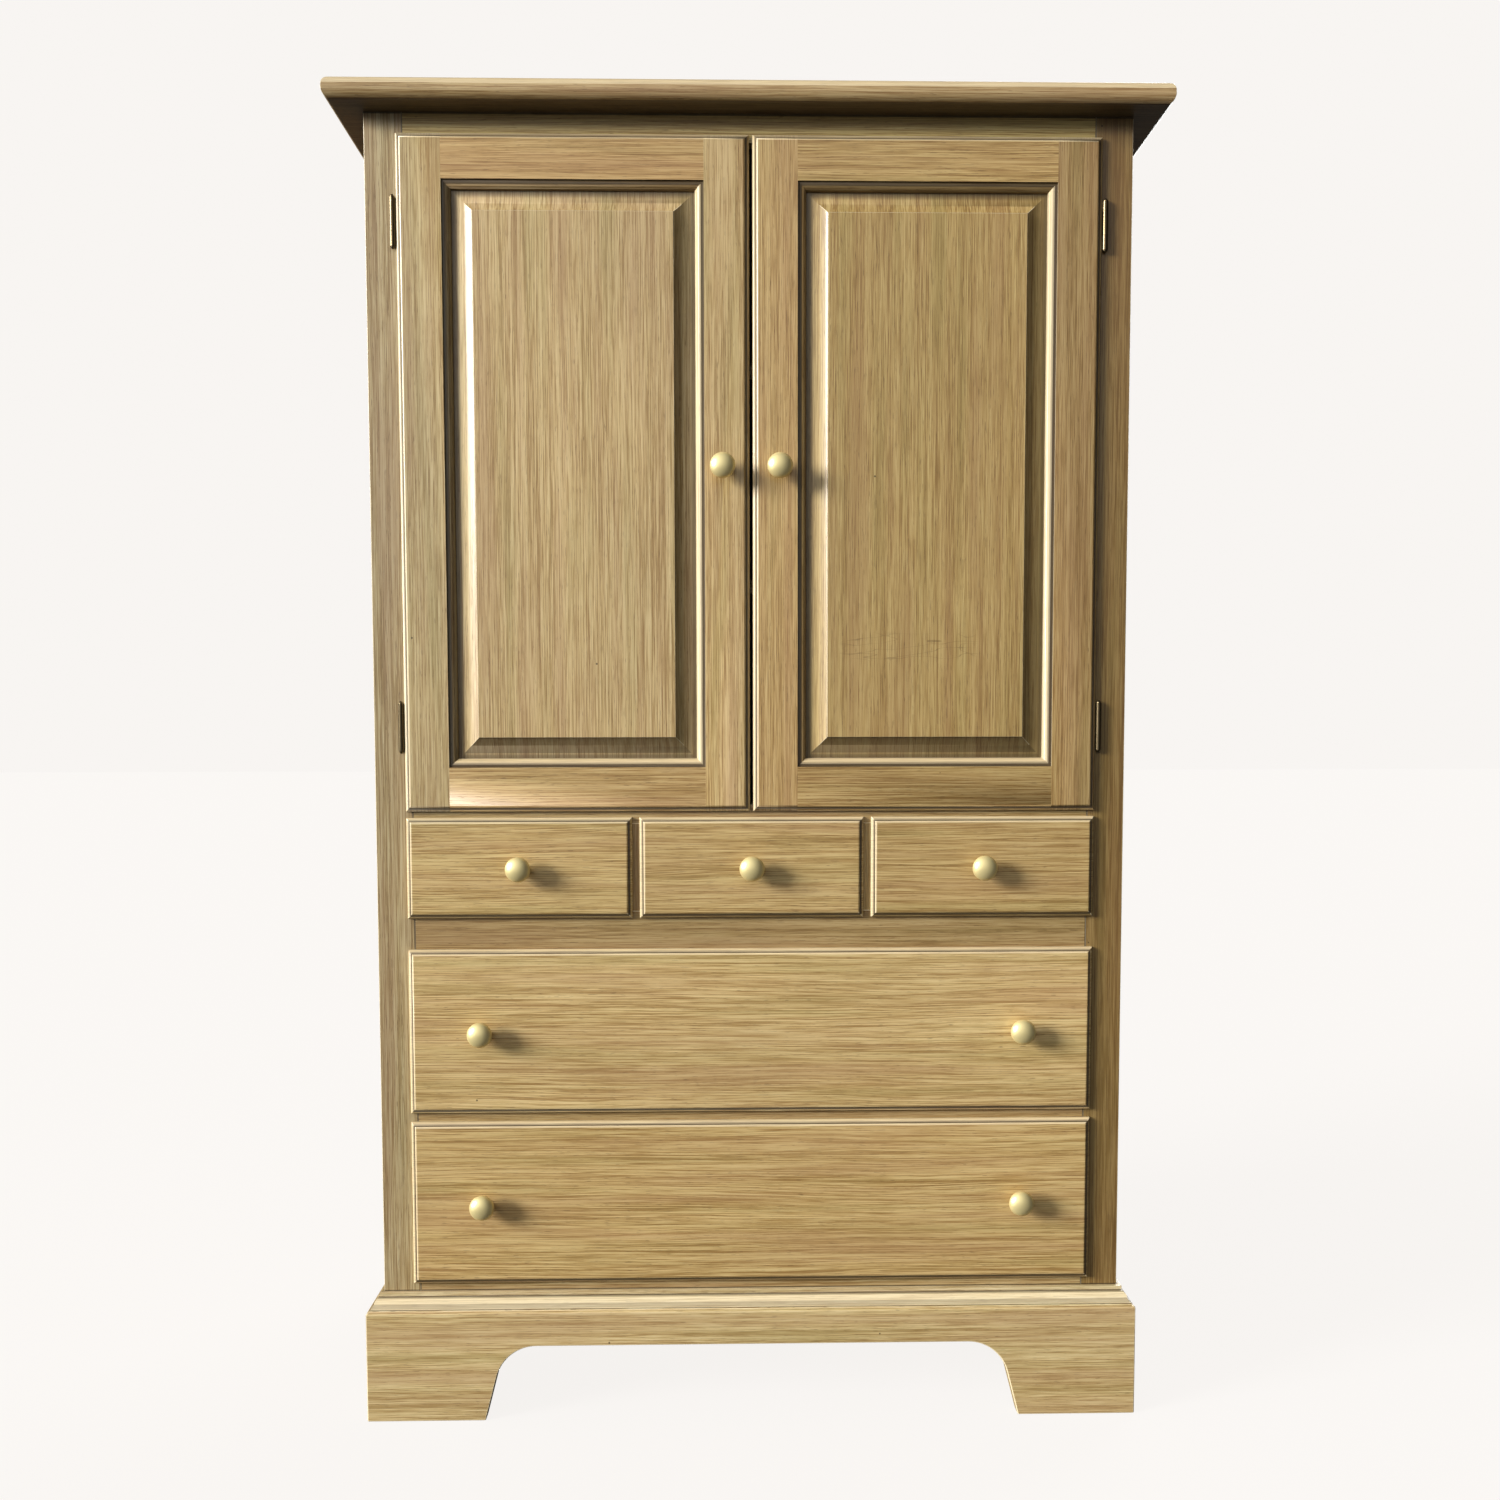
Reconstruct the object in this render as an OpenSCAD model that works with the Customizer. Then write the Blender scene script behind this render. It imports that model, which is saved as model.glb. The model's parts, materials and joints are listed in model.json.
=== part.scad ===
// Armoire: two raised-panel doors over three small and two large drawers, on a bracket-foot base.
// Millimetres. +Z up, front faces -Y. Origin: on the floor, under the middle of the top slab.

/* [Case] */
// Height from the floor to the top of the slab
overall_h = 1786; // [1500:1:2150]
// Width of the case across the outer faces of its sides
case_w = 1016; // [840:1:1230]
// Depth of the case from the face frame's front to the back
case_d = 540; // [440:1:660]
// Thickness of the side panels
side_t = 19; // [16:0.5:25]
// Thickness of the shelves, floors and dust panels
board_t = 18; // [15:0.5:22]
// Thickness of the back panel
back_t = 6; // [4:0.5:12]
// Height of the case's lower edge above the floor
case_foot_z = 112; // [106:1:120]

/* [Top slab] */
// Thickness of the slab
slab_t = 28; // [22:0.5:36]
// How far the slab stands over the front and the sides
slab_over = 43.5; // [38:0.5:60]
// How far in from the slab's edge its rounding reaches
slab_r = 10; // [4:0.5:14]

/* [Face frame] */
// Thickness of the face frame
frame_t = 20; // [16:0.5:25]
// Width of the frame's stiles
stile_w = 50; // [40:0.5:65]
// Frame showing above the doors
top_gap = 28.5; // [15:0.5:50]
// Frame showing between the doors and the small drawers
door_small_gap = 8; // [4:0.5:20]
// Frame showing between the small and the large drawers
small_large_gap = 42.5; // [8:0.5:80]
// Frame showing between the two large drawers
large_gap = 12; // [6:0.5:30]
// Frame showing below the lower large drawer
base_gap = 12.5; // [6:0.5:30]
// Frame showing between two small drawers
small_gap = 10; // [6:0.5:20]

/* [Door and drawer fronts] */
// How far a front's lip lies over the face frame
lip_over = 8.5; // [6:0.5:11]
// How far the fronts stand out from the face frame
front_proj = 9.5; // [8:0.5:12]
// Thickness of a front behind its lip
front_in = 9.5; // [7:0.5:12]
// Width of the rounded band along a lip
lip_round_w = 5.5; // [3:0.5:7]
// Step between the rounded band and the front's face
lip_step = 2; // [1:0.25:3]
// Flat edge of a lip below its rounded band
lip_edge = 3; // [1:0.25:4]
// Width of the rounding between the lip's step and the front's face
lip_ease = 3; // [1:0.25:4]
// Height of a small drawer's front
small_h = 137; // [100:1:170]
// Height of a large drawer's front
large_h = 225.5; // [170:1:280]
// Gap between the two doors
door_gap = 4; // [3:0.25:8]
// Gap between a drawer and its opening
drawer_fit = 1.5; // [1:0.25:3]

/* [Doors] */
// Width of the door's stiles and rails up to the panel opening
member_w = 60; // [50:1:80]
// Width of the moulded edge around the panel opening
sticking_w = 12; // [8:0.5:16]
// Depth of the moulded edge
sticking_d = 10; // [6:0.5:10.5]
// Step at the start of the moulded edge
sticking_step = 2; // [1:0.25:2.5]
// Thickness of the groove that holds the panel
groove_t = 5.5; // [5:0.25:6.5]
// Depth of that groove
groove_d = 10; // [7:0.5:12]
// Width of the panel's hollow bevel
bevel_w = 28; // [20:0.5:40]
// Step at the edge of the panel's raised field
field_step = 1; // [0.5:0.1:2]
// Distance of the raised field behind the door's face
field_back = 0.5; // [0.5:0.25:4]
// Gap around the panel inside its grooves
panel_play = 2; // [1:0.25:3]
// Height of the door knobs above the door's lower edge
door_knob_z = 458.5; // [300:0.5:600]
// Distance of the door knobs from the door's meeting edge
door_knob_in = 36; // [24:0.5:50]

/* [Hinges and catches] */
// Length of a hinge barrel
barrel_len = 63; // [55:1:90]
// Radius of a hinge barrel
barrel_r = 3.8; // [3:0.1:4.5]
// Distance of a hinge's middle from the door's end
hinge_in = 114; // [80:1:180]
// Thickness of a hinge leaf
leaf_t = 1.1; // [0.8:0.05:1.4]
// Clearance between the two leaves where they lie behind a door's lip
leaf_play = 0.2; // [0.1:0.05:0.5]
// Clearance between the two leaves where they lie beside a door's rabbet
rabbet_play = 1; // [0.8:0.1:1.6]
// Radius of a hinge pin
pin_r = 1.5; // [1:0.1:1.8]
// Running clearance between a pin and its knuckle
pin_fit = 0.05; // [0.02:0.01:0.1]
// Width of a door catch
catch_w = 44; // [30:1:60]
// Distance of a door catch's middle from the doors' meeting line
catch_x = 60; // [40:1:90]

/* [Knobs] */
// Radius of a knob
knob_r = 17; // [12:0.5:20]
// How far a knob stands out from its front
knob_proj = 29; // [22:0.5:30]
// Radius of the rose at a knob's foot
rose_r = 8.8; // [7:0.2:11]
// Thickness of the rose
rose_t = 2.5; // [1.5:0.25:3.5]
// Radius of a knob's neck
neck_r = 5.4; // [4.5:0.2:6.5]
// Half the thickness of a knob's round
ball_half = 10.5; // [8:0.25:11]
// Distance of a large drawer's knobs from the front's ends
large_knob_in = 98.5; // [60:0.5:160]
// Radius of a knob's screw
screw_r = 2; // [1.5:0.25:2.5]

/* [Drawer boxes] */
// Thickness of the drawer's sides and back
box_t = 12; // [10:0.5:16]
// Thickness of the drawer's bottom
box_bottom_t = 6; // [4:0.5:8]
// Height of the bottom above the sides' lower edges
box_bottom_z = 10; // [8:0.5:14]
// Depth of the grooves that hold the bottom
box_groove = 5; // [3:0.5:6]
// Free space behind a drawer box
box_rear_gap = 24; // [10:1:60]
// How much lower the box is than its opening
box_drop = 14; // [8:1:30]
// Running clearance under a drawer
box_lift = 0.5; // [0.3:0.1:1]
// Height of the guide strips beside the drawers
guide_h = 24; // [16:1:32]
// Overlap of a kicker strip over a drawer's side
kicker_over = 28; // [18:1:40]

/* [Shelves] */
// Distance between the holes for the shelf pins
pin_pitch = 32; // [26:1:40]
// Height of the lower shelf above the cupboard's floor, counted in that distance
shelf_low_step = 9; // [5:1:11]
// Height of the upper shelf above the cupboard's floor, counted in that distance
shelf_high_step = 18; // [15:1:20]
// Spare holes above and below each row of shelf pins
spare_holes = 3; // [1:1:4]
// Radius of a shelf pin
shelf_pin_r = 2.5; // [2:0.25:3]
// Distance of the pin holes from the shelf's front and back edges
pin_in = 60; // [40:1:90]
// Play at each end of a shelf
shelf_play = 1.5; // [1:0.25:3]
// Distance of the shelves behind the face frame
shelf_set_back = 14; // [4:1:40]

/* [Base] */
// Height of the base boards
base_h = 152; // [140:1:170]
// Thickness of the base boards
base_t = 21.5; // [19:0.5:28]
// Height of the moulding on top of the base
mould_h = 23; // [18:0.5:30]
// How far the moulding stands out at its foot
mould_proj = 17.5; // [14:0.5:18.5]
// How far the moulding stands out at its top
mould_top = 6; // [4:0.5:9]
// Radius of the base boards' upper edge
base_edge_r = 3; // [1:0.5:4]
// Height of the arch between the feet
arch_h = 104; // [85:1:105]
// Radius of the arch's corners
arch_r = 56; // [40:1:70]
// Lean of the feet's inner edges, in degrees
foot_lean = 14.4; // [0:0.1:18]
// Width of a front foot at the floor
foot_w = 162; // [120:1:200]
// Width of a side foot at the floor
side_foot_w = 135; // [100:1:160]
// Thickness of the base's back board
base_back_t = 20; // [16:0.5:25]
// Height of the base's back board above the floor
base_back_z = 36; // [20:1:60]
// Width of the corner blocks behind the feet
foot_block = 52; // [40:1:60]
// Height of the corner blocks above the floor
foot_block_z = 3; // [2:0.5:10]
// Width of the cleats under the slab
cleat_w = 22; // [16:1:30]
// Height of the cleats under the slab
cleat_h = 30; // [20:1:36]

/* [Hidden] */
$fn = 48;
// how far a cutting shape runs past the wood it cuts
cut = 1;
// number of steps in a rounded profile
arc_steps = 8;

case_top = overall_h - slab_t;
face_y = slab_over - (case_d + slab_over) / 2;
back_y = face_y + case_d;
frame_back_y = face_y + frame_t;
inner_back_y = back_y - back_t;
inner_x = case_w / 2 - side_t;
open_x = case_w / 2 - stile_w;
back_rabbet = side_t / 2;
// share of the slab's thickness that each of its two curves takes
slab_arc = 0.46;
// angle on the slab's upper edge where its curve starts, which leaves a crease
slab_crease = 14;

// heights of the fronts, from the base up
mould_top_z = base_h + mould_h;
large2_z = mould_top_z + base_gap;
large1_z = large2_z + large_h + large_gap;
small_z = large1_z + large_h + small_large_gap;
door_z = small_z + small_h + door_small_gap;
door_h = case_top - top_gap - door_z;

// widths of the fronts
front_w = 2 * (open_x + lip_over);
small_w = (front_w - 2 * small_gap) / 3;
door_w = (front_w - door_gap) / 2;
small_pitch = small_w + small_gap;
divider_w = small_gap + 2 * lip_over;

// heights of the frame's rails
top_rail_z = door_z + door_h - lip_over;
door_rail_z = small_z + small_h - lip_over;
door_rail_top = door_z + lip_over;
small_rail_z = large1_z + large_h - lip_over;
small_rail_top = small_z + lip_over;
large_rail_z = large2_z + large_h - lip_over;
large_rail_top = large1_z + lip_over;
bottom_rail_top = large2_z + lip_over;

// free space between the door and the frame, filled by the hinge leaves at the hinges
door_standoff = 2 * leaf_t + leaf_play;
door_fit = 2 * leaf_t + rabbet_play;

// door section: depth is counted from the door's front face backwards
door_t = front_proj + front_in;
door_rabbet = lip_over + door_fit;
tongue_w = groove_d - panel_play;
tongue_play = 0.1;
// part of the fall of the panel's hollow bevel that is straight
bevel_straight = 0.12;

// hinge: places are counted from the door's outer lower corner at the face plane
barrel_gap = 0.7;
barrel_lift = 0.4;
axis_x = -(barrel_r + barrel_gap);
axis_y = -(barrel_r + barrel_lift);
leaf_gap = 0.2;
leaf_x = axis_x + barrel_r + barrel_gap / 2 + leaf_gap;
top_knuckle = barrel_len / 5;
low_knuckle = barrel_len * 3 / 10;
knuckle_gap = 0.3;
frame_leaf_d = 16;
door_leaf_w = 26;
tip_r = barrel_r - 0.7;
// wood-side web of a knuckle: how near it comes to the pin's axis
web_in = pin_r + pin_fit + 0.7;
tip_len = 4;
tip_disc = 1;

// knob section
neck_rise = 1;
// angle below the middle of a knob's round where it meets the neck
knob_waist = 62;
ball_y = knob_proj - ball_half;
screw_head_r = screw_r * 2;
screw_head_t = 2;
screw_bite = 12;
hole_play = 0.25;
// width of a glue line between boards that share a node
glue = 0.1;
pin_bore = 10;

large_knob_x = front_w / 2 - large_knob_in;

// shelves
shelf_low_z = shelf_low_step * pin_pitch;
shelf_high_z = shelf_high_step * pin_pitch;
shelf_front = frame_back_y + shelf_set_back;
shelf_pin_rows = [shelf_front + pin_in, inner_back_y - pin_in];
shelf_pin_out = 8;

// drawer box
box_len = inner_back_y - box_rear_gap - (face_y + front_in);
large_box_w = 2 * (open_x - drawer_fit);
small_open_w = small_pitch - divider_w;
small_box_w = small_open_w - 2 * drawer_fit;
large_open_h = large_h - 2 * lip_over;
small_open_h = small_h - 2 * lip_over;

// catches
catch_nose = 17;
catch_t = 12;
catch_rise = 22;
strike_t = 1.2;
strike_gap = 0.3;

wood = "#b9a16f";
wood_light = "#c6b083";
wood_inside = "#cdb98f";
brass = "#8d7647";

// ---- shared shapes ----

// box between two corners
module span(low, high) {
    translate(low)
        cube(high - low);
}

// section drawn as [x, y], run upwards over a height
module run_up(height) {
    linear_extrude(height)
        children();
}

// section drawn as [y, z], run along +X over a length
module run_along_x(length) {
    rotate([90, 0, 90])
        linear_extrude(length)
            children();
}

// section drawn as [x, z], run towards +Y over a length
module run_along_y(length) {
    translate([0, length, 0])
        rotate([90, 0, 0])
            linear_extrude(length)
                children();
}

// both halves of something that is the same on the left and on the right
module both_sides() {
    children();
    mirror([1, 0, 0])
        children();
}

// quarter of an ellipse, from [0, b] to [a, 0] around its centre
function quarter(centre, a, b, from, to) = [
    for (i = [0 : arc_steps])
        let (angle = from + (to - from) * i / arc_steps)
            [centre[0] + a * cos(angle), centre[1] + b * sin(angle)]
];

// a list of points in the opposite order, and one mirrored across a line x = middle
function reversed(points) = [for (i = [len(points) - 1 : -1 : 0]) points[i]];
function mirrored(points, middle) = [for (p = reversed(points)) [2 * middle - p[0], p[1]]];

// ---- case ----

// rounded edge of the slab as [out, z], from its foot up: the upper arc ends in a crease
function slab_edge() = concat(
    quarter([-slab_r, slab_t * slab_arc], slab_r, slab_t * slab_arc, -90, 0),
    quarter([-slab_r, slab_t * (1 - slab_arc)], slab_r, slab_t * slab_arc, slab_crease, 90)
);

module top_slab() {
    half_w = case_w / 2 + slab_over;
    front = slab_over - face_y;
    edge = slab_edge();
    end_right = [for (p = edge) [half_w + p[0], p[1]]];
    end_front = [for (p = edge) [-front - p[0], p[1]]];
    color(wood)
        translate([0, 0, case_top])
            intersection() {
                translate([0, -front - cut, 0])
                    run_along_y(case_d + slab_over + cut)
                        polygon(concat(end_right, mirrored(end_right, 0)));
                translate([-half_w - cut, 0, 0])
                    run_along_x(2 * (half_w + cut))
                        polygon(concat(end_front, [[back_y, slab_t], [back_y, 0]]));
            }
}

// side panel with a rabbet for the back and rows of holes for the shelf pins
module side_panel(side) {
    low_hole = shelf_low_z - spare_holes * pin_pitch;
    high_hole = shelf_high_z + spare_holes * pin_pitch;
    color(wood)
        scale([side, 1, 1])
            difference() {
                span([inner_x, frame_back_y, case_foot_z], [case_w / 2, back_y, case_top]);
                span([inner_x - cut, inner_back_y, case_foot_z - cut],
                     [inner_x + back_rabbet, back_y + cut, case_top + cut]);
                for (y = shelf_pin_rows, z = [low_hole : pin_pitch : high_hole])
                    translate([inner_x - cut, y, door_rail_top + z - shelf_pin_r])
                        rotate([0, 90, 0])
                            cylinder(r = shelf_pin_r + pin_fit, h = pin_bore + cut);
            }
}

module back_panel() {
    color(wood_inside)
        span([-inner_x - back_rabbet, inner_back_y, case_foot_z],
             [inner_x + back_rabbet, back_y, case_top]);
}

module face_stile(side) {
    color(wood)
        scale([side, 1, 1])
            span([open_x, face_y, case_foot_z], [case_w / 2, frame_back_y, case_top]);
}

module frame_rail(low, high) {
    color(wood)
        span([-open_x, face_y, low], [open_x, frame_back_y, high]);
}

module drawer_dividers() {
    color(wood)
        both_sides()
            translate([small_pitch / 2, 0, 0])
                span([-divider_w / 2, face_y, small_rail_top],
                     [divider_w / 2, frame_back_y, door_rail_z]);
}

// horizontal board that fills the case behind the frame, given by its upper face
module case_board(top) {
    color(wood_inside)
        span([-inner_x, frame_back_y, top - board_t], [inner_x, inner_back_y, top]);
}

module dust_panels() {
    case_board(small_rail_top);
    case_board(large_rail_top);
}

module shelves() {
    color(wood_inside)
        for (z = [shelf_low_z, shelf_high_z])
            span([-inner_x + shelf_play, shelf_front, door_rail_top + z],
                 [inner_x - shelf_play, inner_back_y - shelf_play, door_rail_top + z + board_t]);
}

// pins reach as far into the side panel as their holes, less the running clearance
module shelf_pins() {
    color(brass)
        both_sides()
            for (y = shelf_pin_rows, z = [shelf_low_z, shelf_high_z])
                translate([inner_x - shelf_pin_out, y, door_rail_top + z - shelf_pin_r])
                    rotate([0, 90, 0])
                        cylinder(r = shelf_pin_r, h = shelf_pin_out + pin_bore - pin_fit);
}

// strips beside the drawers: they fill the space between a drawer's opening and the case side
module guide_pair(x, width, bottom, height) {
    both_sides()
        span([x, frame_back_y, bottom], [x + width, inner_back_y, bottom + height]);
}

module drawer_guides() {
    side_w = inner_x - open_x;
    color(wood_inside) {
        guide_pair(open_x, side_w, bottom_rail_top, guide_h);
        guide_pair(open_x, side_w, large_rail_top, guide_h);
        guide_pair(open_x, side_w, small_rail_top, guide_h);
        guide_pair(small_pitch / 2 - divider_w / 2, divider_w, small_rail_top, guide_h);
    }
}

// strips above the drawers that keep them from tipping when they are pulled out: they fill
// the height between a drawer's opening and the board above it
module drawer_kickers() {
    side_x = open_x - kicker_over;
    side_w = inner_x - side_x;
    middle_w = divider_w + 2 * kicker_over;
    small_kicker_h = door_rail_top - board_t - door_rail_z;
    color(wood_inside) {
        guide_pair(side_x, side_w, large_rail_z, large_rail_top - board_t - large_rail_z);
        guide_pair(side_x, side_w, small_rail_z, small_rail_top - board_t - small_rail_z);
        guide_pair(side_x, side_w, door_rail_z, small_kicker_h);
        guide_pair(small_pitch / 2 - middle_w / 2, middle_w, door_rail_z, small_kicker_h);
    }
}

module top_cleats() {
    color(wood_inside)
        both_sides()
            span([inner_x - cleat_w, frame_back_y, case_top - cleat_h],
                 [inner_x, inner_back_y, case_top]);
}

// ---- base ----

// half of an arch's outline as [along, z], from the floor to its crown; along is counted
// from the foot's inner edge at the floor
function arch_side(height) =
    let (
        centre_z = height - arch_r,
        reach = arch_r * cos(foot_lean) + (centre_z + arch_r * sin(foot_lean)) * tan(foot_lean)
    )
    concat([[0, -cut], [0, 0]], [
        for (i = [0 : arc_steps * 2])
            let (angle = foot_lean + (90 - foot_lean) * i / (arc_steps * 2))
                [reach - arch_r * cos(angle), centre_z + arch_r * sin(angle)]
    ]);

// arch between two feet, from along = low to along = high
module arch(low, high) {
    left = [for (p = arch_side(arch_h)) [low + p[0], p[1]]];
    right = [for (p = reversed(arch_side(arch_h))) [high - p[0], p[1]]];
    polygon(concat(left, right));
}

// base board's section as [out, z], out counted from the case
module base_section() {
    polygon(concat(
        [[0, 0], [base_t, 0]],
        quarter([base_t - base_edge_r, base_h - base_edge_r], base_edge_r, base_edge_r, 0, 90),
        [[0, base_h]]
    ));
}

// plan of a frontal piece that is mitred into the side ones, standing out by depth
module front_plan(depth) {
    polygon([
        [-case_w / 2, face_y],
        [-case_w / 2 - depth, face_y - depth],
        [case_w / 2 + depth, face_y - depth],
        [case_w / 2, face_y]
    ]);
}

// plan of a piece on the right side of the case, mitred at the front
module side_plan(depth) {
    polygon([
        [case_w / 2, face_y],
        [case_w / 2 + depth, face_y - depth],
        [case_w / 2 + depth, back_y],
        [case_w / 2, back_y]
    ]);
}

// section drawn as [out, z], run across the front of the case
module front_run(depth, height) {
    length = case_w + 2 * (depth + cut);
    intersection() {
        translate([-length / 2, face_y, 0])
            run_along_x(length)
                mirror([1, 0])
                    children();
        translate([0, 0, -cut])
            run_up(height + 2 * cut)
                front_plan(depth);
    }
}

// section drawn as [out, z], run along the right side of the case
module side_run(depth, height) {
    length = case_d + depth + cut;
    intersection() {
        translate([case_w / 2, back_y - length, 0])
            run_along_y(length)
                children();
        translate([0, 0, -cut])
            run_up(height + 2 * cut)
                side_plan(depth);
    }
}

module base_front() {
    foot_x = case_w / 2 + base_t - foot_w;
    color(wood)
        difference() {
            front_run(base_t, base_h)
                base_section();
            translate([0, face_y - base_t - cut, 0])
                run_along_y(base_t + 2 * cut)
                    arch(-foot_x, foot_x);
        }
}

module base_side(side) {
    color(wood)
        scale([side, 1, 1])
            difference() {
                side_run(base_t, base_h)
                    base_section();
                translate([case_w / 2 - cut, 0, 0])
                    run_along_x(base_t + 2 * cut)
                        arch(face_y - base_t + side_foot_w, back_y - side_foot_w);
            }
}

module base_back() {
    color(wood_inside)
        span([-case_w / 2, back_y - base_back_t, base_back_z], [case_w / 2, back_y, case_foot_z]);
}

// moulding's section as [out, z]: a fillet, a quirk and an ogee that ends on the base board
module mould_section() {
    foot_edge = 2.5;
    fillet = 4.5;
    quirk = 2;
    swell = 0.8;
    ogee_top = mould_h - fillet - quirk;
    ogee_in = mould_top + quirk / 2;
    ogee_out = mould_proj - quirk / 4;
    ogee = [
        for (i = [0 : arc_steps * 2])
            let (
                t = i / (arc_steps * 2),
                bulge = t + swell * sin(360 * t) / (2 * PI)
            )
                [ogee_in + (ogee_out - ogee_in) * bulge, ogee_top - (ogee_top - foot_edge) * t]
    ];
    polygon(concat(
        [[0, 0], [0, mould_h], [mould_top, mould_h], [mould_top, ogee_top + quirk],
         [mould_top - quirk / 2, ogee_top + quirk], [mould_top - quirk / 2, ogee_top]],
        ogee,
        [[mould_proj, foot_edge], [mould_proj, 0]]
    ));
}

module base_moulding() {
    color(wood_light)
        translate([0, 0, base_h]) {
            front_run(mould_proj, mould_h)
                mould_section();
            both_sides()
                translate([0, glue, 0])
                    side_run(mould_proj, mould_h)
                        mould_section();
        }
}

// square blocks glued into the corners behind the feet
module foot_blocks() {
    edge = case_w / 2;
    rear_y = back_y - base_back_t;
    color(wood_inside)
        both_sides() {
            span([edge - foot_block, face_y, foot_block_z], [edge, face_y + foot_block, case_foot_z]);
            span([edge - foot_block, rear_y - foot_block, foot_block_z], [edge, rear_y, case_foot_z]);
        }
}

// ---- hinges and catches ----

// puts door parts, drawn from the door's outer lower corner at the face plane, in their place;
// side -1 is the left door and side 1 its mirror image
module door_place(side) {
    mirror([side > 0 ? 1 : 0, 0, 0])
        translate([-front_w / 2, face_y, door_z])
            children();
}

// puts a hinge part, drawn from the barrel's foot, at both hinges of a door
module hinge_places(side) {
    for (z = [hinge_in, door_h - hinge_in])
        door_place(side)
            translate([0, 0, z - barrel_len / 2])
                children();
}

module knuckle(low, high) {
    translate([axis_x, axis_y, low])
        difference() {
            cylinder(r = barrel_r, h = high - low);
            translate([0, 0, -cut])
                cylinder(r = pin_r + pin_fit, h = high - low + 2 * cut);
        }
}

// leaf that lies on the face frame behind the lip and turns into the opening
module frame_leaf() {
    low_top = low_knuckle - knuckle_gap / 2;
    high_bottom = barrel_len - top_knuckle + knuckle_gap / 2;
    knuckle(0, low_top);
    knuckle(high_bottom, barrel_len);
    span([axis_x + barrel_r / 2, -leaf_t, 0], [leaf_x + cut, 0, low_top]);
    span([axis_x + barrel_r / 2, -leaf_t, high_bottom], [leaf_x + cut, 0, barrel_len]);
    // web between the leaf and the round of each knuckle
    span([axis_x + web_in, axis_y + web_in, 0], [leaf_x - leaf_gap, 0, low_top]);
    span([axis_x + web_in, axis_y + web_in, high_bottom], [leaf_x - leaf_gap, 0, barrel_len]);
    span([leaf_x, -leaf_t, 0], [lip_over + leaf_t, 0, barrel_len]);
    span([lip_over, -leaf_t, 0], [lip_over + leaf_t, frame_leaf_d, barrel_len]);
}

// leaf that wraps round the door's rabbet and lies on the door's back
module door_leaf() {
    low = low_knuckle + knuckle_gap / 2;
    high = barrel_len - top_knuckle - knuckle_gap / 2;
    lip_back = -door_standoff;
    knuckle(low, high);
    span([axis_x + barrel_r / 2, lip_back, low], [leaf_x + cut, lip_back + leaf_t, high]);
    span([leaf_x, lip_back, 0], [door_rabbet, lip_back + leaf_t, barrel_len]);
    span([door_rabbet - leaf_t, lip_back, 0], [door_rabbet, front_in + leaf_t, barrel_len]);
    span([door_rabbet - leaf_t, front_in, 0], [door_rabbet + door_leaf_w, front_in + leaf_t, barrel_len]);
}

module frame_hinge_leaves() {
    color(brass)
        for (side = [-1, 1])
            hinge_places(side)
                frame_leaf();
}

// pin with a turned tip at each end
module hinge_pins() {
    color(brass)
        for (side = [-1, 1])
            hinge_places(side)
                translate([axis_x, axis_y, 0])
                    rotate_extrude()
                        polygon(concat(
                            [[0, -tip_len], [tip_r / 2, -tip_len + tip_disc / 2], [tip_r, -tip_disc],
                             [tip_r, 0], [pin_r, 0], [pin_r, barrel_len], [tip_r, barrel_len],
                             [tip_r, barrel_len + tip_disc],
                             [tip_r / 2, barrel_len + tip_len - tip_disc / 2],
                             [0, barrel_len + tip_len]]
                        ));
}

module door_hinge_leaves(side) {
    color(brass)
        hinge_places(side)
            door_leaf();
}

// magnetic catch behind the top rail: its nose reaches under the rail to the door's back
module door_catches() {
    nose_y = face_y + front_in + strike_t + strike_gap;
    low = top_rail_z - catch_nose;
    color(brass)
        both_sides()
            translate([catch_x - catch_w / 2, 0, 0]) {
                span([0, frame_back_y, low], [catch_w, frame_back_y + catch_t, top_rail_z + catch_rise]);
                span([0, nose_y, low], [catch_w, frame_back_y + catch_t, top_rail_z - strike_gap]);
            }
}

module door_strike(side) {
    low = top_rail_z - catch_nose;
    high = low + catch_nose - strike_gap;
    color(brass)
        scale([side, 1, 1])
            span([catch_x - catch_w / 2, face_y + front_in, low],
                 [catch_x + catch_w / 2, face_y + front_in + strike_t, high]);
}

// ---- doors ----

// outline of a lipped front, as [along, depth] with depth counted backwards from the face
// plane: rounded lip and eased step at both ends, and a body behind the lip that stands in by
// rabbet
function lip_end(lip_back) = concat(
    [[0, lip_back], [0, -lip_edge]],
    quarter([lip_round_w, -lip_edge], lip_round_w, front_proj - lip_step - lip_edge, 180, 270),
    quarter([lip_round_w + lip_ease, lip_step - front_proj], lip_ease, lip_step, 180, 270)
);

function front_outline(length, lip_back, rabbet) = concat(
    [[rabbet, front_in], [rabbet, lip_back]],
    lip_end(lip_back),
    mirrored(lip_end(lip_back), length / 2),
    [[length - rabbet, lip_back], [length - rabbet, front_in]]
);

// lipped board with mitred edges, drawn from its lower left corner at the face plane
module lipped_board(width, height, lip_back, rabbet) {
    intersection() {
        run_up(height)
            polygon(front_outline(width, lip_back, rabbet));
        run_along_x(width)
            mirror_diagonal()
                polygon(front_outline(height, lip_back, rabbet));
    }
}

// turns a section drawn as [along, depth] into one drawn as [depth, along]
module mirror_diagonal() {
    mirror([1, -1])
        children();
}

module door_blank() {
    lipped_board(door_w, door_h, -door_standoff, door_rabbet);
}

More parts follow.
